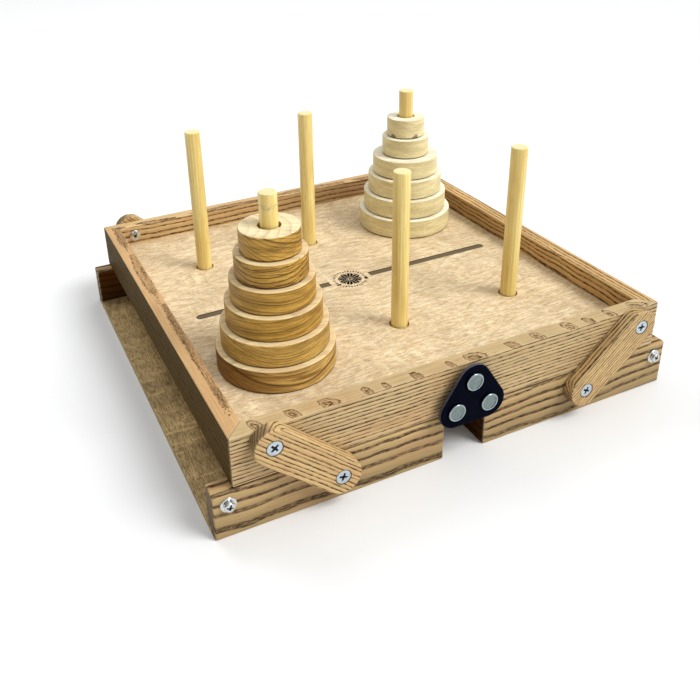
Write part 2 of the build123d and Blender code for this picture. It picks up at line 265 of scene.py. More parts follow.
def ash(name, centre, turn, pith, seed, ring=3.0, wobble=1.0, ripple=1.0, slope=0.0, core=0.9,
        weakest=0.6, light=(212, 184, 134), band=(134, 102, 62), mitre=None, loops=None, stain=None,
        screw_shadows=(), foot_shade=1.0, dim=None):
    """Oiled ash: growth rings round a far pith, with rows of open pores in each ring's early wood.
    ring is the rings' spacing and core the width of their pore rows, in mm; slope tilts them along the
    board, and wobble and ripple bend them in long and short waves. weakest is the faintest ring's strength.
    loops cuts the top face into small loops. stain is (direction, tint), for painted shade on the faces
    turned that way, and dim is (direction, darker corner), for painted shade that darkens those faces towards
    the corner. screw_shadows are places that get a painted shade ring round a bolt head, and foot_shade is
    the tone at z = 0 of painted shade that darkens towards the bottom."""
    s = Shader(name)
    local = s.board(centre, turn)
    field = s.vector("ADD", local, seed_offset(seed))
    bent = local
    for sizes, amount in (((170, 60, 60), 12 * wobble), ((30, 13, 40), 2.4 * ripple), ((9, 3, 3), 0.5)):
        bent = s.vector("ADD", bent, s.vector("SCALE", s.wander(field, sizes), scale=amount))
    along, across, up = s.split(bent)
    leaning = s.math("MULTIPLY_ADD", along, slope, up)
    from_pith = s.away_from(across, leaning, pith)
    uneven = s.math("MULTIPLY_ADD", s.noise_1d(from_pith, ring * 2.2), ring * 0.7, from_pith)
    count = s.math("DIVIDE", uneven, ring)
    if loops:
        on_top = s.step(s.facing((0, 0, 1)), 0.70, 0.74)
        grazed, inside = loop_count(s, along, across, loops, seed)
        count = s.math("MULTIPLY_ADD", s.math("SUBTRACT", grazed, count), on_top, count)
    phase = s.math("FRACT", count)
    strength = s.random(s.math("FLOOR", count))
    full = core / ring
    early = s.profile(phase, ((0.0, 0.0), (0.04, 1.0), (full, 1.0), (full + 0.1, 0.34),
                              (min(full + 0.4, 0.9), 0.08), (1.0, 0.0)))
    depth = s.math("MULTIPLY", early, s.scale(strength, 0, 1, weakest, 1.15), clamp=True)

    dashes = s.noise(field, (5.0, 0.75, 0.75), 1.0)
    row = s.math("MULTIPLY", depth, s.scale(s.step(dashes, 0.43, 0.55), 0, 1, 0.25, 1.0))
    stray = s.math("MULTIPLY", s.step(dashes, 0.68, 0.74), 0.4)
    pores = s.math("MAXIMUM", s.step(row, 0.42, 0.8), stray)
    fibre = s.noise(field, (38, 0.9, 0.9), 3.0, 0.7)
    patches = s.noise(field, (60, 18, 18), 2.0)

    colour = s.mix(s.math("MULTIPLY", s.step(patches, 0.42, 0.72), 0.5), srgb(*light), BLUSH)
    if loops:
        tuft = s.step(s.noise(field, (2.2, 0.8, 0.8), 2.0, 0.7), 0.40, 0.58)
        tuft = s.math("MULTIPLY", s.math("MULTIPLY", inside, on_top), s.scale(tuft, 0, 1, 0.15, 0.8))
        colour = s.mix(tuft, colour, srgb(128, 88, 52))
    colour = s.mix(s.math("MULTIPLY", depth, 0.74), colour, srgb(*band))
    colour = s.tint(colour, s.scale(fibre, 0.3, 0.7, 0.76, 1.2))
    colour = s.mix(s.math("MULTIPLY", pores, 0.8), colour, PORE)
    end_grain = s.step(s.facing(grain_direction(turn)), 0.55, 0.95)
    colour = s.mix(s.math("MULTIPLY", end_grain, 0.55), colour, PORE)
    s.set(Specular_IOR_Level=MATT_WOOD)
    # Painted shade: faces turned along the given direction are evened towards the light tone, darkened by a
    # tint and lose most of their sheen.
    if stain:
        direction, shade_tint = stain
        shaded_face = s.step(s.towards(direction), 0.6, 0.95)
        evened = s.mix(0.5, colour, srgb(*light))
        colour = s.mix(shaded_face, colour, s.mix(1.0, evened, srgb(*shade_tint), "MULTIPLY"))
        s.set(Specular_IOR_Level=s.scale(shaded_face, 0, 1, MATT_WOOD, 0.1 * MATT_WOOD))
    colour = s.mix(s.math("MULTIPLY", s.edges(WORN_EDGE), 0.4), colour, srgb(238, 214, 170))
    x, y, z = s.split(s.board((0, 0, 0), ALONG_X))
    if mitre:
        off_seam = s.math("ABSOLUTE", mitre(s, s.math("ABSOLUTE", x), s.math("ABSOLUTE", y)))
        colour = s.mix(s.math("MULTIPLY", s.step(off_seam, 0.45, 0.15), 0.7), colour, PORE)
    # Painted shade: faces turned along the given direction darken towards the given corner.
    if dim:
        direction, corner = dim
        near = s.step(s.away_from(x, y, corner), 200, 60)
        near = s.math("MULTIPLY", near, s.step(s.towards(direction), 0.6, 0.95))
        colour = s.mix(s.math("MULTIPLY", near, 0.5), colour, srgb(88, 58, 40))
    # Painted shade: darker towards the bottom, down to the given tone at z = 0.
    if foot_shade < 1:
        colour = s.tint(colour, s.scale(z, 0, LID_TOP, foot_shade, 1))
    # Painted shade: a dark ring round each bolt head, in the gap beside it.
    for place in screw_shadows:
        rubbed = s.step(s.away_from(x, z, place), BOLT_HEAD + 1.0, BOLT_HEAD + 0.3)
        colour = s.mix(s.math("MULTIPLY", rubbed, 0.85), colour, srgb(44, 32, 26))
    s.set(Base_Color=colour)
    s.set(Roughness=s.math("MULTIPLY_ADD", pores, 0.25, s.scale(fibre, 0.2, 0.8, 0.44, 0.58)))
    height = s.math("SUBTRACT", s.math("MULTIPLY", fibre, 0.35), s.math("MULTIPLY_ADD", depth, 0.3, pores))
    s.set(Normal=s.bump(height, 0.14 * MM, 0.7))
    return s.material


def tray_mitre(s, x, y):
    """How far a point is from the tray's mitre planes, in mm."""
    return s.math("SUBTRACT", x, y)


def lid_mitre(s, x, y):
    """How far a point is from a lid's mitre planes, in mm."""
    return s.math("SUBTRACT", s.math("ADD", x, y), LID_MITRE)


VENEER = 1.3     # mm, the thickness of one layer of plywood


def ply(name, centre, turn, seed, pale, mid, dark, flame=1.0, hatch=0.5, stroke=(4.0, 0.8), waver=12,
        burn=None):
    """Birch plywood: wavy fibres, loose contour loops and shimmering cross bands, with layered edges.
    flame is the strength of the bands and hatch that of the dark flecks, which are one stroke (length,
    width) in size; waver is how far the fibres stray, in mm."""
    s = Shader(name)
    local = s.board(centre, turn)
    field = s.vector("ADD", local, seed_offset(seed))
    bent = s.vector("ADD", field, s.vector("SCALE", s.wander(field, (50, 22, 30), 2.0), scale=waver))
    glow = srgb(*(min(1.12 * c, 255) for c in pale))
    flare = srgb(*(min(1.15 * c, 255) for c in pale))
    streaks = s.noise(bent, (2.5 * stroke[0], 1.9 * stroke[1], 40), 5.0, 0.78)
    fleck = s.noise(bent, (*stroke, 40), 2.0, 0.7)
    glint = s.noise(s.vector("ADD", bent, (31, 47, 0)), (0.8 * stroke[0], stroke[1], 40), 2.0, 0.7)
    loops = s.math("FRACT", s.math("MULTIPLY", s.noise(bent, (110, 50, 400), 0.0), 15))
    loops = s.profile(loops, ((0.0, 0.0), (0.5, 0.35), (0.86, 1.0), (1.0, 0.0)))
    bands = s.noise(bent, (11, 40, 400), 2.0)
    curl = s.step(s.noise(bent, (4.5, 24, 400), 3.0, 0.6), 0.56, 0.68)
    blotch = s.noise(field, (48, 34, 400), 2.0)

    colour = s.mix(s.step(streaks, 0.38, 0.62), srgb(*mid), srgb(*pale))
    colour = s.mix(s.math("MULTIPLY", s.step(fleck, 0.50, 0.66), hatch), colour, srgb(*dark))
    colour = s.mix(s.math("MULTIPLY", s.step(glint, 0.55, 0.68), 0.5 * hatch), colour, glow)
    colour = s.mix(s.math("MULTIPLY", loops, 0.2), colour, srgb(*dark))
    colour = s.mix(s.math("MULTIPLY", curl, 0.16 * flame), colour, flare)
    shimmer = s.scale(s.math("ADD", bands, blotch), 0.7, 1.3, 1 - 0.09 * flame, 1 + 0.09 * flame)
    colour = s.tint(colour, shimmer)
    depth = s.math("ADD", s.split(local)[2], 0.3)
    layer = s.step(s.math("PINGPONG", depth, VENEER), 0.45 * VENEER, 0.6 * VENEER)
    edge = s.step(s.facing((0, 0, 1)), 0.5, 0.3)
    colour = s.mix(s.math("MULTIPLY", edge, 0.7), colour, s.mix(layer, srgb(*dark), srgb(*pale)))
    colour = s.mix(s.math("MULTIPLY", s.edges(0.8 * MM), 0.4), colour, srgb(234, 208, 150))
    if burn:
        colour = burn(s, colour)
    s.set(Base_Color=colour)
    s.set(Roughness=s.scale(fleck, 0.3, 0.7, 0.46, 0.6))
    s.set(Normal=s.bump(s.math("ADD", streaks, fleck), 0.05 * MM, 0.5))
    s.set(Specular_IOR_Level=MATT_WOOD)
    return s.material


DISC_HALF = 8.25     # mm, half of a disc's thickness


def turned(name, centre, angle, seed, side, top, line, contact_shade, ring=3.4, mark=1.0, tilt=0.05, arc=180.0,
           heart=0.0, knots=()):
    """A turned disc cut from a flat board: growth lines run level round its rim, and its faces are paler.
    tilt slopes the lines, arc is how far below the pith lies, in mm, mark is how strongly they show, and
    heart is where dark heartwood starts. knots are (angle round the rim, height, size)."""
    s = Shader(name)
    local = s.board(centre, (0, 0, angle))
    field = s.vector("ADD", local, seed_offset(seed))
    bent = s.vector("ADD", local, s.vector("SCALE", s.wander(field, (60, 30, 30)), scale=6))
    along, across, up = s.split(bent)
    leaning = s.math("MULTIPLY_ADD", along, tilt, up)
    from_pith = s.away_from(across, leaning, (-0.3 * arc * math.sin(seed * 2.1), -arc))
    uneven = s.math("MULTIPLY_ADD", s.noise_1d(from_pith, ring * 2.1), ring * 1.6, from_pith)
    count = s.math("DIVIDE", uneven, ring)
    strength = s.random(s.math("ADD", s.math("FLOOR", count), seed * 7.0))
    late_wood = ((0.0, 0.0), (0.4, 0.10), (0.72, 0.42), (0.9, 1.0), (1.0, 0.0))
    rings = s.profile(s.math("FRACT", count), late_wood)
    rings = s.math("MULTIPLY", rings, s.scale(strength, 0, 1, 0.35, 1.1), clamp=True)
    fine = s.noise(bent, (30, 14, 0.75), 3.0, 0.7)
    facing_up = s.step(s.facing((0, 0, 1)), 0.35, 0.9)
    on_rim = s.math("SUBTRACT", 1.0, facing_up)
    fibre = s.noise(field, (22, 0.8, 0.8), 3.0, 0.66)
    patches = s.noise(field, (34, 20, 7), 2.0)

    body = s.mix(s.step(patches, 0.36, 0.66), srgb(*side), s.mix(0.34, srgb(*side), srgb(*line)))
    if heart:
        # Dark heartwood on one side of the disc, with closer rings.
        edge = s.math("SUBTRACT", s.math("MULTIPLY", s.noise(field, (20, 20, 9), 2.0), 16), along)
        core = s.math("MULTIPLY", s.step(edge, heart, heart + 30), 0.7)
        body = s.mix(core, body, srgb(112, 72, 24))
        streak = s.step(s.noise(bent, (60, 30, 2.6), 1.0), 0.52, 0.66)
        body = s.mix(s.math("MULTIPLY", streak, 0.6), body, srgb(106, 58, 24))
    stripes = s.step(s.noise(field, (90, 5, 90), 2.0), 0.45, 0.62)
    faces = s.mix(stripes, srgb(*top), s.mix(0.22, srgb(*top), srgb(206, 128, 78)))
    body = s.mix(facing_up, body, faces)
    ring_mark = s.math("MULTIPLY", rings, s.scale(facing_up, 0, 1, 0.85 * mark, 0.3 * mark), clamp=True)
    colour = s.mix(ring_mark, body, srgb(*line))
    hairlines = s.math("MULTIPLY", on_rim, 0.5 * mark)
    hairlines = s.math("MULTIPLY", s.step(fine, 0.50, 0.62), hairlines, clamp=True)
    colour = s.mix(hairlines, colour, srgb(*line))
    colour = s.tint(colour, s.scale(fibre, 0.25, 0.75, 0.82, 1.18))
    for turn_by, height, size in knots:
        toward = Vector((math.cos(turn_by), math.sin(turn_by), 0)) * KNOT_REACH
        spot = s.vector("SUBTRACT", s.board(centre, (0, 0, 0)), (toward.x, toward.y, height))
        ragged = s.noise(field, (2.5, 2.5, 1.2), 2.0)
        reach = s.math("MULTIPLY_ADD", ragged, size, s.vector("LENGTH", spot))
        inside = s.step(reach, 1.9 * size, 1.1 * size)
        colour = s.mix(s.math("MULTIPLY", inside, 0.8), colour, srgb(112, 80, 44))
    # Painted shade: a dark band low on each disc's side, where it rests on what lies below.
    z = s.split(s.board(centre, (0, 0, 0)))[2]
    foot_shade = s.math("MULTIPLY", s.step(z, 1.5 - DISC_HALF, 0.6 - DISC_HALF), 0.85)
    colour = s.mix(foot_shade, colour, srgb(*contact_shade))
    s.set(Base_Color=colour)
    s.set(Roughness=s.scale(fibre, 0.2, 0.8, 0.40, 0.54))
    s.set(Normal=s.bump(s.math("ADD", fibre, s.math("MULTIPLY", fine, 0.5)), 0.05 * MM, 0.5))
    s.set(Specular_IOR_Level=MATT_WOOD)
    return s.material


def dowel(name, centre, seed, pencil=None):
    """A birch dowel with faint long fibres, and on one a rubbed pencil ring."""
    s = Shader(name)
    field = s.vector("ADD", s.board(centre, ALONG_Z), seed_offset(seed))
    fibre = s.noise(field, (60, 1.1, 1.1), 3.0, 0.6)
    dash = s.noise(field, (9, 0.5, 0.5), 1.0)
    patches = s.noise(field, (45, 9, 9), 1.0)
    colour = s.mix(s.step(fibre, 0.35, 0.65), srgb(226, 196, 112), srgb(246, 224, 148))
    colour = s.mix(s.math("MULTIPLY", s.step(patches, 0.45, 0.7), 0.4), colour, srgb(206, 170, 86))
    colour = s.mix(s.math("MULTIPLY", s.step(dash, 0.63, 0.72), 0.3), colour, srgb(176, 132, 74))
    end = s.step(s.facing((0, 0, 1)), 0.6, 0.95)
    colour = s.mix(s.math("MULTIPLY", end, 0.7), colour, srgb(248, 230, 180))
    if pencil:
        z = s.split(s.board((0, 0, pencil), ALONG_X))[2]
        near = s.step(s.math("ABSOLUTE", s.math("MULTIPLY_ADD", patches, 2.0, z)), 2.6, 0.8)
        smudge = s.math("MULTIPLY", near, s.step(s.noise(field, (1.6, 2.5, 2.5), 2.0), 0.36, 0.66))
        colour = s.mix(s.math("MULTIPLY", smudge, 0.5), colour, srgb(128, 128, 112))
    s.set(Base_Color=colour)
    s.set(Roughness=s.scale(fibre, 0.2, 0.8, 0.36, 0.5))
    s.set(Normal=s.bump(fibre, 0.05 * MM, 0.5))
    return s.material


def metal(name, colour, roughness, seed):
    """Plated steel with cloudy plating and fine scratches."""
    s = Shader(name)
    field = s.vector("ADD", s.board((0, 0, 0), ALONG_X), seed_offset(seed))
    cloud = s.noise(field, (3, 3, 3), 3.0)
    scratch = s.noise(field, (6, 0.12, 0.12), 2.0)
    s.set(Base_Color=s.mix(s.step(cloud, 0.35, 0.7), srgb(*colour), srgb(*(0.94 * c for c in colour))))
    s.set(Roughness=s.math("MULTIPLY_ADD", s.math("ADD", cloud, scratch), 0.12, roughness - 0.1))
    s.set(Normal=s.bump(scratch, 0.01 * MM, 0.4))
    s.surface.inputs["Metallic"].default_value = 1.0
    return s.material


def leather(name):
    """Dense navy-black leather with a pebbled face."""
    s = Shader(name)
    field = s.board((0, 0, 0), ALONG_X)
    cells = s.add("ShaderNodeTexVoronoi", feature="SMOOTH_F1")
    s.put(cells.inputs["Vector"], s.vector("SCALE", field, scale=1 / 0.75))
    s.put(cells.inputs["Scale"], 1.0)
    soft = s.noise(field, (3, 3, 3), 3.0)
    colour = s.mix(s.step(soft, 0.35, 0.7), srgb(1, 7, 20), srgb(4, 12, 28))
    s.set(Base_Color=colour)
    s.set(Roughness=s.scale(soft, 0.3, 0.7, 0.42, 0.56))
    s.set(Normal=s.bump(s.math("ADD", cells.outputs["Distance"], soft), 0.12 * MM, 0.5))
    s.surface.inputs["Specular IOR Level"].default_value = 0.02
    return s.material


def cut_leather(name):
    """The tab's cut edge: grey fibres, rubbed dark in places."""
    s = Shader(name)
    field = s.board((0, 0, 0), ALONG_X)
    fibre = s.noise(field, (1.2, 0.4, 1.2), 3.0, 0.7)
    s.set(Base_Color=s.mix(s.step(fibre, 0.35, 0.65), srgb(44, 42, 52), srgb(86, 82, 90)))
    s.set(Roughness=s.scale(fibre, 0.2, 0.8, 0.6, 0.8))
    s.set(Normal=s.bump(fibre, 0.1 * MM, 0.6))
    return s.material


def scorched(name):
    """Laser-burnt marks on the deck."""
    s = Shader(name)
    soot = s.noise(s.board((0, 0, 0), ALONG_X), (1.2, 0.5, 0.5), 3.0, 0.7)
    s.set(Base_Color=s.mix(s.step(soot, 0.35, 0.7), srgb(8, 6, 10), srgb(30, 24, 26)))
    s.set(Roughness=s.scale(soot, 0.2, 0.8, 0.7, 0.9))
    s.set(Normal=s.bump(soot, 0.05 * MM, 0.6))
    s.surface.inputs["Specular IOR Level"].default_value = 0.1
    return s.material


# ------------------------------------------------------------------ materials on the CAD pieces
def centre_of(node):
    low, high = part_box(node)
    return tuple((low + high) / 2)


def dress(node, material):
    mesh = nodes[node].data
    mesh.materials.clear()
    mesh.materials.append(material)


def pivot_of(owner, side):
    """The place (x, z), in mm, of an owner's pivot on one side."""
    low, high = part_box(f"{owner}_connector_bolts")
    x = high.x - BOLT_HEAD * MM if side > 0 else low.x + BOLT_HEAD * MM
    return x / MM, (low.z + high.z) / 2 / MM


LID_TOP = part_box("left_lid_rail_front")[1].z / MM
LID_MITRE = (abs(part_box("left_lid_end_wall")[1].x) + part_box("left_lid_end_wall")[1].y) / MM

# The corner, in mm, towards which painted shade darkens the back and right rails' inner faces.
FAR_CORNER = (150, 150)


def tray_rail(place, turn, pith, seed, **figure):
    node = f"tray_rail_{place}"
    dress(node, ash(f"ash_tray_{place}", centre_of(node), turn, pith, seed, mitre=tray_mitre, **figure))


tray_rail("front", ALONG_X, (4, -120), 1, ring=2.75, wobble=0.4, ripple=0.5, core=0.8, weakest=0.8,
          light=(198, 172, 126), loops=(22, 3.0, 5.0, 2.1, -2.4))
# The back and right rails get painted shade on their inner faces towards the far corner.
tray_rail("back", ALONG_X, (-10, -110), 2, ring=4.4, wobble=0.6, core=1.4, weakest=0.8,
          light=(216, 182, 128), loops=(80, 30, 3.6, 1.5, -3.0), dim=((0, -1, 0), FAR_CORNER))
tray_rail("right", ALONG_Y, (-74, -62), 3, ring=3.3, wobble=1.7, core=1.15, weakest=0.7,
          light=(214, 174, 114), dim=((-1, 0, 0), FAR_CORNER))
# The left rail's outer face gets painted shade.
tray_rail("left", ALONG_Y, (-64, -70), 4, ring=3.2, wobble=0.6, core=0.9, light=(204, 164, 114),
          loops=(128, 56, 5.0, 1.6, -3.8), stain=((-1, 0, 0), (110, 106, 66)))
LID_RAILS = (   # node, grain, pith, seed, ring, slope, painted shade (direction, tint)
    ("left_lid_rail_front", ALONG_X, (40, -34), 5, 4.9, 0.02, None),
    ("left_lid_rail_back", ALONG_X, (-36, -40), 6, 4.6, 0.02, ((0, -1, 0), (120, 88, 58))),
    ("left_lid_end_wall", ALONG_Y, (30, -50), 7, 4.4, 0.02, None),
    ("right_lid_rail_front", ALONG_X, (42, -38), 8, 4.6, -0.03, None),
    ("right_lid_rail_back", ALONG_X, (-38, -36), 9, 5.0, -0.02, None),
    ("right_lid_end_wall", ALONG_Y, (-30, -46), 10, 4.4, 0.02, ((-1, 0, 0), (104, 78, 58))),
)
# Every lid rail gets painted shade that darkens towards the bottom; the left lid's back rail and the right
# lid's end wall also get painted shade on one face each.
for node, turn, pith, seed, ring, slope, stain in LID_RAILS:
    dress(node, ash("ash_" + node, centre_of(node), turn, pith, seed, ring=ring, slope=slope, wobble=0.8,
                    ripple=1.2, core=0.3 * ring, weakest=0.65, light=(190, 160, 110), band=(84, 60, 32),
                    stain=stain, mitre=lid_mitre, foot_shade=0.68))

LINK_SLANT = math.radians(41.67)
LINK_RINGS = {"left": (2.15, 0.62), "right": (1.7, 0.5)}
for side, lean in (("left", 1), ("right", -1)):
    ring, core = LINK_RINGS[side]
    pivots = [pivot_of("tray", -lean), pivot_of(f"{side}_lid", -lean)]
    for end, seed in (("front", 11), ("back", 13)):
        node = f"{side}_link_{end}"
        # Each link gets a painted shade ring round the bolt heads at its pivots.
        dress(node, ash("ash_" + node, centre_of(node), (0, lean * LINK_SLANT, 0), (66, -96), seed + lean,
                        ring=ring, wobble=0.3, ripple=0.3, core=core, weakest=0.75, light=(206, 174, 120),
                        screw_shadows=pivots))

DECK_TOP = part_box("deck_panel")[1].z
LINE_HALF_WIDTH = 3.25


def burnt_line(s, colour):
    """Scorch the shallow groove along the middle of the deck, darkest at its border."""
    _, y, z = s.split(s.board((0, 0, DECK_TOP), ALONG_X))
    sunk = s.step(z, -0.08, -0.2)
    border = s.step(s.math("ABSOLUTE", y), LINE_HALF_WIDTH - 0.9, LINE_HALF_WIDTH - 0.3)
    near_middle = s.step(s.math("ABSOLUTE", y), 4.2, 4.0)
    scorch = s.mix(border, srgb(106, 94, 76), srgb(54, 44, 36))
    grain = s.mix(0.3, scorch, colour, "MULTIPLY")
    return s.mix(s.math("MULTIPLY", sunk, near_middle), colour, grain)


DECK_BIRCH = (238, 217, 180), (206, 178, 134), (146, 112, 72)
BASE_BIRCH = (206, 176, 130), (184, 150, 102), (140, 104, 64)
LID_BIRCH = (222, 194, 138), (176, 146, 96), (84, 60, 30)
BATTEN_BIRCH = (220, 192, 146), (200, 168, 120), (160, 124, 80)
dress("deck_panel", ply("birch_deck", centre_of("deck_panel"), ALONG_X, 1, *DECK_BIRCH, burn=burnt_line))
dress("tray_base_panel", ply("birch_base", centre_of("tray_base_panel"), ALONG_X, 5, *BASE_BIRCH))
for side, seed in (("left", 2), ("right", 3)):
    node = f"{side}_lid_panel"
    dress(node, ply("birch_" + node, centre_of(node), ALONG_Y, seed, *LID_BIRCH, flame=2.6, hatch=0.85,
                    stroke=(6.0, 0.62), waver=2.5))
for side, seed in (("front", 7), ("back", 8)):
    node = f"peg_batten_{side}"
    dress(node, ply("birch_" + node, centre_of(node), ALONG_X, seed, *BATTEN_BIRCH))

DISC_GRAIN = math.radians(-24)
KNOT_REACH = 16.0
# In each look the darkest colour is painted shade low on each disc, where it rests on what lies below.
HONEY = {"side": (206, 160, 74), "top": (236, 211, 160), "line": (70, 40, 16), "contact_shade": (46, 20, 18),
         "mark": 1.2}
CREAM = {"side": (236, 222, 170), "top": (250, 246, 218), "line": (174, 150, 102), "contact_shade": (84, 58, 36),
         "mark": 0.5}
DISC_FIGURE = {
    "front_tower_disc_1": {"top": (244, 226, 180), "tilt": 0.42, "arc": 60, "ring": 3.0},
    "front_tower_disc_2": {"mark": 1.7, "tilt": 0.06, "ring": 2.6},
    "front_tower_disc_3": {"mark": 0.95, "tilt": 0.03},
    "front_tower_disc_4": {"mark": 1.1, "tilt": -0.10, "arc": 90},
    "front_tower_disc_5": {"mark": 0.95, "side": (216, 174, 92), "tilt": 0.02, "ring": 2.4},
    "front_tower_disc_6": {"tilt": 0.12, "arc": 70, "heart": 2.0, "mark": 1.1, "side": (226, 184, 104)},
    "back_tower_disc_1": {"mark": 0.5, "tilt": 0.3, "knots": ((-2.83, -7.2, 2.6), (-1.55, -7.4, 2.8))},
}
for tower, look in (("front", HONEY), ("back", CREAM)):
    for number in range(1, 7):
        node = f"{tower}_tower_disc_{number}"
        seed = number + (10 if tower == "back" else 0)
        figure = {**look, **DISC_FIGURE.get(node, {})}
        turn = DISC_GRAIN + 0.25 * math.sin(seed * 5.3)
        dress(node, turned("wood_" + node, centre_of(node), turn, seed, **figure))

PENCIL_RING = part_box("peg_front_left")[1].z - 7.5 * MM
for row in ("front", "back"):
    for place, column in enumerate(("left", "middle", "right")):
        node = f"peg_{row}_{column}"
        dress(node, dowel("birch_" + node, centre_of(node), place + (3 if row == "back" else 0),
                          PENCIL_RING if node == "peg_front_left" else None))

zinc = metal("bright_zinc", (196, 208, 214), 0.3, 1)
chrome = metal("bright_chrome", (214, 216, 216), 0.14, 2)
nickel = metal("satin_nickel", (128, 142, 142), 0.34, 3)
bright_nickel = metal("bright_nickel", (158, 170, 172), 0.15, 5)
# Dark metal for the faces deep inside each cross recess.
deep_recess_metal = metal("dark_recess_metal", (58, 62, 70), 0.5, 4)
dress("tab_snap_sockets", nickel)


# ------------------------------------------------------------------ turned metal pieces
def smooth_step(value):
    value = min(max(value, 0.0), 1.0)
    return value * value * (3 - 2 * value)


def phillips(size):
    """The depth of a cross recess, in mm, at a place on a screw head."""
    reach = 2.9 * size

    def depth(u, v):
        long_way, short_way = max(abs(u), abs(v)), min(abs(u), abs(v))
        half = 0.85 * size * (1 - 0.3 * long_way / reach)
        arm = smooth_step((half - short_way) / 0.16) * smooth_step((reach - long_way) / 0.2)
        core = smooth_step((1.15 * size - math.hypot(u, v)) / 0.25)
        return max(arm * 1.6 * (1 - 0.6 * long_way / reach), core * 1.5) * size

    return depth


def head_rows(radius, height, crown=0.0):
    """Closely spaced rings across a screw head, so that its recess is cut cleanly."""
    count = max(4, round(radius / 0.15))
    return [(radius * i / count, height + crown * (1 - (i / count) ** 2)) for i in range(1, count + 1)]


RECESS_SHOWS = 0.45      # mm of depth from which a cross recess looks black
NUT_RECESS_SHOWS = 0.9


def lathe(bm, profile, place, side, turn=0.0, recess=None, recess_rows=0, shows=RECESS_SHOWS, segments=96):
    """Turn a profile of (radius, height) in mm round the line through a place along Y.
    Heights are outwards. The profile starts and ends on the axis; a recess sinks its first rows."""
    rows, sinks = [], []
    for number, (radius, height) in enumerate(profile):
        row, sunk_row = [], []
        for i in range(segments if radius else 1):
            angle = math.tau * i / segments
            sunk = recess(radius * math.cos(angle), radius * math.sin(angle)) if number < recess_rows else 0.0
            x, z = radius * math.cos(angle + turn), radius * math.sin(angle + turn)
            offset = Vector((x, side * (height - sunk), z))
            row.append(bm.verts.new(Vector(place) + offset * MM))
            sunk_row.append(sunk)
        rows.append(row)
        sinks.append(sunk_row)
    for k, (first, second) in enumerate(zip(rows, rows[1:])):
        for i in range(segments):
            j = (i + 1) % segments
            corners = [first[i % len(first)], first[j % len(first)]]
            corners = list(dict.fromkeys(corners + [second[j % len(second)], second[i % len(second)]]))
            if len(corners) > 2:
                face = bm.faces.new(corners)
                if sinks[k][i % len(first)] + sinks[k + 1][i % len(second)] > 2 * shows:
                    face.material_index = 1


def finish_piece(name, bm, materials, body, replaced=(), sharp=40):
    """Turn the mesh into a piece of the model that moves with a body."""
    bmesh.ops.recalc_face_normals(bm, faces=bm.faces)
    mesh = bpy.data.meshes.new(name)
    bm.to_mesh(mesh)
    bm.free()
    mesh.shade_smooth()
    mesh.set_sharp_from_angle(angle=math.radians(sharp))
    for material in materials:
        mesh.materials.append(material)
    piece = bpy.data.objects.new(name, mesh)
    scene.collection.objects.link(piece)
    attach(piece, body)
    if replaced:
        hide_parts(*replaced)
    return piece


# Measures of the fittings, in mm.
BOLT_SHANK = 2.0
BOLT_LENGTH = 16.3
BARREL_LENGTH = 18.2
NUT_HEAD = 5.0
BARREL = 3.0
BARREL_BORE = 2.05
BORE_FLOOR = 3.0
STUD_FLANGE = 5.2
STUD_CROWN = 2.5
STUD_SHANK = 1.95
STUD_SHANK_DEPTH = 9.5
CAP_RADIUS = 6.25
CAP_FACE = 4.95
CAP_THICK = 1.4
POST = 1.7
POST_DEPTH = 3.3
turns = random.Random(11)


def ends_of(node, radius):
    """The places where a node's turned pieces stand: (x, side, z) for each, in metres."""
    low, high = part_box(node)
    z = (low.z + high.z) / 2
    xs = sorted({round(low.x + radius * MM, 6), round(high.x - radius * MM, 6)})
    return [(x, side, z) for x in xs for side in (-1, 1)]


def connector_bolts(owner):
    """Countersunk cross-head bolts, outside the links."""
    node = f"{owner}_connector_bolts"
    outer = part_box(node)[1].y / MM
    inner = outer - BOLT_LENGTH
    bm = bmesh.new()
    for x, side, z in ends_of(node, BOLT_HEAD):
        face = [(0, 0)] + head_rows(BOLT_HEAD - 0.25, 0)
        profile = list(face)
        profile += [(BOLT_HEAD - 0.06, -0.08), (BOLT_HEAD, -0.25), (BOLT_HEAD - 0.15, -0.42)]
        profile += [(BOLT_SHANK, BOLT_SHANK - BOLT_HEAD), (BOLT_SHANK, inner - outer + 0.4)]
        profile += [(BOLT_SHANK - 0.4, inner - outer), (0, inner - outer)]
        lathe(bm, profile, (x, side * outer * MM, z), side, turns.uniform(0, math.pi / 2), phillips(1.0),
              len(face))
    finish_piece(f"{owner}_cross_head_bolts", bm, [zinc, deep_recess_metal], owner, [node])


def barrel_nuts(owner):
    """Domed nuts inside the rails, with the barrel that the link turns on."""
    node = f"{owner}_barrel_nuts"
    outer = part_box(node)[1].y / MM
    face = outer - BARREL_LENGTH
    bm = bmesh.new()
    for x, side, z in ends_of(node, NUT_HEAD):
        dome = [(0, 1.9)] + [(r, 1.9 - 1.15 * (r / NUT_HEAD) ** 2.2) for r, _ in head_rows(NUT_HEAD - 0.2, 0)]
        profile = list(dome)
        profile += [(NUT_HEAD, 0.5), (NUT_HEAD, 0.02), (BARREL, 0.0), (BARREL, 0.2 - BARREL_LENGTH)]
        profile += [(BARREL - 0.2, -BARREL_LENGTH), (BARREL_BORE, -BARREL_LENGTH)]
        profile += [(BARREL_BORE, -BORE_FLOOR), (0, -BORE_FLOOR)]
        lathe(bm, profile, (x, side * face * MM, z), -side, turns.uniform(0, math.pi / 2), phillips(0.9),
              len(dome), NUT_RECESS_SHOWS)
    finish_piece(f"{owner}_domed_nuts", bm, [chrome, deep_recess_metal], owner, [node])


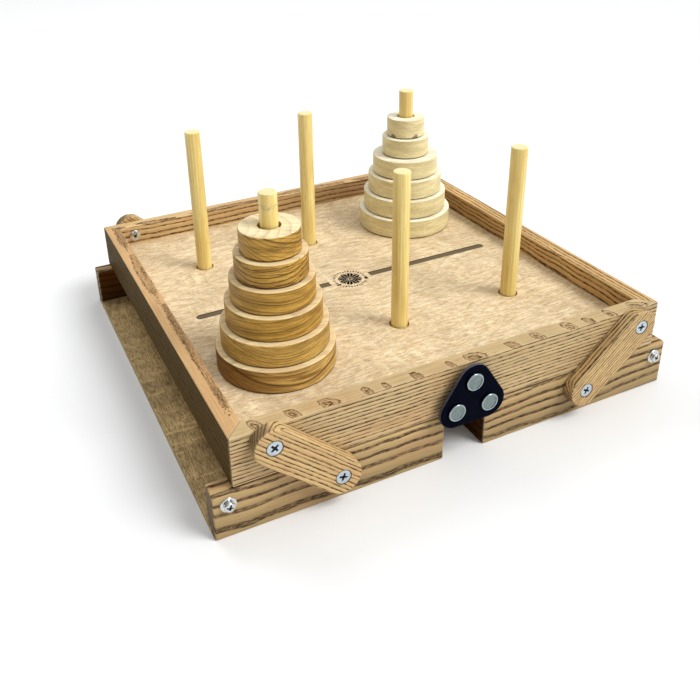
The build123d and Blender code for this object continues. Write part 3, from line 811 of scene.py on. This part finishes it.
def snap_stud(owner):
    """A flanged ball stud for the leather tab, screwed into the rail."""
    node = f"{owner}_snap_stud"
    low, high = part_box(node)
    centre = (low + high) / 2
    face = high.y - STUD_SHANK_DEPTH * MM
    top = (face - low.y) / MM
    bm = bmesh.new()
    crown = [(0, top)] + head_rows(STUD_CROWN, top - 0.15, crown=0.15)
    profile = list(crown)
    profile += [(STUD_CROWN + 0.9 * math.sin(a), top - 1.3 + 1.15 * math.cos(a))
                for a in (0.3, 0.7, 1.1, 1.5, 1.9, 2.3)]
    profile += [(2.85, 1.25), (2.95, 1.0), (4.2, 0.95), (4.9, 0.85), (5.15, 0.6)]
    profile += [(STUD_FLANGE, 0.3), (STUD_FLANGE, 0.0), (STUD_SHANK, 0.0), (STUD_SHANK, 2 - STUD_SHANK_DEPTH)]
    profile += [(0, -STUD_SHANK_DEPTH)]
    lathe(bm, profile, (centre.x, face, centre.z), -1, turns.uniform(0, math.pi / 2), phillips(0.78),
          len(crown))
    finish_piece(f"{owner}_ball_stud", bm, [chrome, deep_recess_metal], owner, [node])


def cap_places():
    """Where the caps' axes stand, as (x, z) in metres: above, lower left and lower right."""
    low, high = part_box("tab_snap_caps")
    radius = CAP_RADIUS * MM
    return (0, high.z - radius), (low.x + radius, low.z + radius), (high.x - radius, low.z + radius)


def snap_caps():
    """Three pressed caps: a faintly dished face inside a bright rolled rim."""
    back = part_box("tab_snap_caps")[0].y + CAP_THICK * MM
    places = cap_places()
    bm = bmesh.new()
    for x, z in places:
        profile = [(0, 0.98), (1.2, 0.985), (2.4, 1.0), (3.6, 1.03), (4.5, 1.04), (4.8, 0.86), (5.0, 0.9)]
        profile += [(5.55 + 0.7 * math.sin(a), 0.78 + 0.6 * math.cos(a))
                    for a in (-0.8, -0.45, -0.1, 0.25, 0.6, 0.95, 1.3, 1.57)]
        profile += [(CAP_RADIUS, 0.35), (6.1, 0.0), (POST, 0.0), (POST, -POST_DEPTH), (0, -POST_DEPTH)]
        lathe(bm, profile, (x, back, z), -1)
    for face in bm.faces:
        middle = face.calc_center_median()
        from_axis = min(math.hypot(middle.x - x, middle.z - z) for x, z in places)
        if CAP_FACE * MM < from_axis < CAP_RADIUS * MM:
            face.material_index = 1
    finish_piece("nickel_snap_caps", bm, [nickel, bright_nickel], "tab", ["tab_snap_caps"])


for owner in ("tray", "left_lid", "right_lid"):
    connector_bolts(owner)
    barrel_nuts(owner)
    snap_stud(owner)
snap_caps()


# ------------------------------------------------------------------ leather tab
def middle_of(centres):
    return sum(centres, Vector((0, 0))) / len(centres)


def rounded_triangle(centres, radius, count):
    """Evenly spaced points round circles held by a tight band, seen along the frame's Y."""
    middle = middle_of(centres)
    order = sorted(centres, key=lambda c: math.atan2(c.y - middle.y, c.x - middle.x))
    path, steps = [], 40
    for i, centre in enumerate(order):
        before, after = order[i - 1], order[(i + 1) % len(order)]
        start = math.atan2(*(centre - before).yx) - math.pi / 2
        end = math.atan2(*(after - centre).yx) - math.pi / 2
        while end < start:
            end += math.tau
        for k in range(steps + 1):
            angle = start + (end - start) * k / steps
            path.append(centre + radius * Vector((math.cos(angle), math.sin(angle))))
    lengths = [0.0]
    for a, b in zip(path, path[1:] + path[:1]):
        lengths.append(lengths[-1] + (b - a).length)
    points, k = [], 0
    for i in range(count):
        target = lengths[-1] * i / count
        while lengths[k + 1] < target:
            k += 1
        share = (target - lengths[k]) / (lengths[k + 1] - lengths[k])
        points.append(path[k].lerp(path[(k + 1) % len(path)], share))
    return points


def leather_tab():
    """A thick leather patch, gently domed, drawn down round its caps, with a cut edge."""
    low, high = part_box("leather_tab")
    centres = [Vector(place) / MM for place in cap_places()]
    radius = high.x / MM - centres[2].x
    thick = (high.y - low.y) / MM
    back = high.y / MM
    middle = middle_of(centres)
    count = 216
    rim = [(0.9, 0.0), (0.35, 0.06), (0.08, 0.28), (0.0, 0.6), (0.0, 1.0), (0.0, 1.5), (0.0, 2.0),
           (0.10, 2.32), (0.34, 2.52), (0.75, 2.6)]
    bm = bmesh.new()
    rows = []
    for inset, depth in rim:
        row = [bm.verts.new((p.x * MM, (back - depth * thick / rim[-1][1]) * MM, p.y * MM))
               for p in rounded_triangle(centres, radius - inset, count)]
        rows.append(row)

    def front_depth(point):
        near = min((point - c).length for c in centres)
        pull = 0.28 * math.exp(-((near - 6.3) / 1.1) ** 2)
        swell = 0.10 * math.sin(point.x * 0.31 + 1.0) * math.cos(point.y * 0.27)
        return thick - pull + swell * smooth_step((near - 7) / 4) - 0.05

    inner = rounded_triangle(centres, radius - rim[-1][0], count)
    for level in (0.95, 0.9, 0.84, 0.77, 0.7, 0.62, 0.54, 0.45, 0.36, 0.26, 0.15):
        row = []
        for p in inner:
            q = middle + (p - middle) * level
            row.append(bm.verts.new((q.x * MM, (back - front_depth(q)) * MM, q.y * MM)))
        rows.append(row)
    for first, second in zip(rows, rows[1:]):
        for i in range(count):
            j = (i + 1) % count
            bm.faces.new((first[i], first[j], second[j], second[i]))
    centre_front = bm.verts.new((middle.x * MM, (back - front_depth(middle)) * MM, middle.y * MM))
    centre_back = bm.verts.new((middle.x * MM, back * MM, middle.y * MM))
    for i in range(count):
        j = (i + 1) % count
        bm.faces.new((rows[-1][i], rows[-1][j], centre_front))
        bm.faces.new((rows[0][j], rows[0][i], centre_back))
    bm.normal_update()
    for face in bm.faces:
        if abs(face.normal.y) < 0.6:
            face.material_index = 1
    finish_piece("leather_patch", bm, [leather("navy_leather"), cut_leather("leather_edge")], "tab",
                 ["leather_tab"], sharp=60)


leather_tab()


# ------------------------------------------------------------------ burnt emblem
def prism(bm, outline, low, high):
    """A thin upright solid over a closed outline given in mm."""
    lower = [bm.verts.new((x * MM, y * MM, low)) for x, y in outline]
    upper = [bm.verts.new((x * MM, y * MM, high)) for x, y in outline]
    bm.faces.new(upper)
    bm.faces.new(lower[::-1])
    for i in range(len(outline)):
        j = (i + 1) % len(outline)
        bm.faces.new((lower[i], lower[j], upper[j], upper[i]))


def polar(radius, angle):
    return radius * math.cos(angle), radius * math.sin(angle)


def disc(centre, radius, count=20):
    around = (polar(radius, math.tau * i / count) for i in range(count))
    return [(centre[0] + x, centre[1] + y) for x, y in around]


PETALS = 8
FIRST_PETAL = 0.3        # its direction, in radians
TICKS = 36
TICK_GAP = 0.19          # radians that the ticks keep from the dot and the bar
HALF_PETAL = ((1.3, 0.16), (3.0, 1.06), (4.5, 1.64), (6.0, 2.2), (7.2, 2.58), (8.3, 2.5), (9.3, 1.7),
              (9.8, 0.3), (7.0, 0.24), (4.0, 0.18))
BUD = ((8.1, 0.0), (9.0, 0.55), (9.7, 0.0), (9.0, -0.55))
DOT = (12.2, -4.7)
BAR = (-12.0, -5.0)


def emblem():
    """A plain rosette of petals inside a ring of ticks, with a dot and a bar beside it."""
    bm = bmesh.new()
    low, high = DECK_TOP - 0.02 * MM, DECK_TOP + 0.05 * MM

    def mark(outline):
        prism(bm, outline, low, high)

    for i in range(PETALS):
        angle = FIRST_PETAL + math.tau * i / PETALS
        mark([polar(r, angle + w / r) for r, w in reversed(HALF_PETAL)])
        mark([polar(r, angle - w / r) for r, w in HALF_PETAL])
        mark([polar(r, angle + math.pi / PETALS + w / r) for r, w in BUD])
    mark(disc((0, 0), 1.2))
    taken = [math.atan2(y, x) for x, y in (DOT, BAR)]
    for i in range(TICKS):
        angle = math.tau * i / TICKS
        if min(abs(math.remainder(angle - other, math.tau)) for other in taken) < TICK_GAP:
            continue
        inner, outer = (11.9, 13.9) if i % 3 else (11.5, 13.3)
        width = 0.5 if i % 2 else 0.34
        mark([polar(inner, angle - width / inner), polar(outer, angle - width / outer),
              polar(outer, angle + width / outer), polar(inner, angle + width / inner)])
    mark(disc(DOT, 1.6))
    mark([(BAR[0] + x, BAR[1] + y) for x, y in ((-1.9, -0.7), (1.5, -1.4), (1.9, 0.6), (-1.5, 1.3))])
    finish_piece("burnt_rosette", bm, [scorched("scorched_wood")], "tray", sharp=20)


emblem()


# ------------------------------------------------------------------ stage, light and camera
def pale_floor():
    bpy.ops.mesh.primitive_plane_add(size=16, location=(0, 0, 0))
    floor = bpy.context.object
    floor.name = "floor"
    s = Shader("pale_floor")
    s.surface.inputs["Base Color"].default_value = (0.86, 0.86, 0.85, 1)
    s.surface.inputs["Roughness"].default_value = 0.7
    floor.data.materials.append(s.material)


def lamp(name, kind, place, aim, power):
    """A white lamp that shines from a place towards another."""
    data = bpy.data.lights.new(name, kind)
    data.energy = power
    light = bpy.data.objects.new(name, data)
    scene.collection.objects.link(light)
    light.location = place
    light.rotation_euler = (Vector(aim) - Vector(place)).to_track_quat("-Z", "Y").to_euler()
    return data


KEY_FROM, KEY_POWER, KEY_ANGLE = (0.75, -0.75, 1.25), 2.1, math.radians(28)
GLEAM_FROM, GLEAM_POWER, GLEAM_SIZE = (-0.5, 0.9, 1.3), 6, 0.8
BRIGHT_SIDE = (0.85, -0.45, 0.25)
CAMERA_PLACE = (-0.26194, -0.50538, 0.36219)
CAMERA_AZIMUTH, CAMERA_ELEVATION, CAMERA_ROLL = (math.radians(a) for a in (-24.18, 25.37, -2.01))
CAMERA_LENS = 41.64
CAMERA_SHIFT = (0.0596, -0.1629)


def make_camera():
    """The camera stands to the left of the front and looks down at the tray."""
    flat = math.cos(CAMERA_ELEVATION)
    back = Vector((math.sin(CAMERA_AZIMUTH) * flat, -math.cos(CAMERA_AZIMUTH) * flat,
                   math.sin(CAMERA_ELEVATION)))
    level = Vector((0, 0, 1)).cross(back).normalized()
    upright = back.cross(level)
    right = math.cos(CAMERA_ROLL) * level + math.sin(CAMERA_ROLL) * upright
    up = math.cos(CAMERA_ROLL) * upright - math.sin(CAMERA_ROLL) * level
    data = bpy.data.cameras.new("camera")
    data.sensor_width = 36
    data.lens = CAMERA_LENS
    data.shift_x, data.shift_y = CAMERA_SHIFT
    camera = bpy.data.objects.new("camera", data)
    scene.collection.objects.link(camera)
    turn = Matrix((right, up, back)).transposed().to_4x4()
    camera.matrix_world = Matrix.Translation(CAMERA_PLACE) @ turn
    scene.camera = camera


def studio_world():
    """Soft surroundings: bright towards one side and dim on the other."""
    world = bpy.data.worlds.new("studio")
    world.use_nodes = True
    tree = world.node_tree
    background = tree.nodes["Background"]
    direction = tree.nodes.new("ShaderNodeTexCoord").outputs["Generated"]
    dot = tree.nodes.new("ShaderNodeVectorMath")
    dot.operation = "DOT_PRODUCT"
    dot.inputs[1].default_value = Vector(BRIGHT_SIDE).normalized()
    tree.links.new(direction, dot.inputs[0])
    ramp = tree.nodes.new("ShaderNodeMapRange")
    for key, level in (("From Min", -0.7), ("From Max", 0.6), ("To Min", 0.12), ("To Max", 0.95)):
        ramp.inputs[key].default_value = level
    tree.links.new(dot.outputs["Value"], ramp.inputs["Value"])
    tree.links.new(ramp.outputs[0], background.inputs["Strength"])
    background.inputs["Color"].default_value = (0.95, 0.97, 1.0, 1)
    scene.world = world


pale_floor()
lamp("key", "SUN", KEY_FROM, (0, 0, 0), KEY_POWER).angle = KEY_ANGLE
gleam = lamp("gleam", "AREA", GLEAM_FROM, (0, 0, 0.06), GLEAM_POWER)
gleam.shape = "DISK"
gleam.size = GLEAM_SIZE
studio_world()
scene.view_settings.view_transform = "Standard"
make_camera()
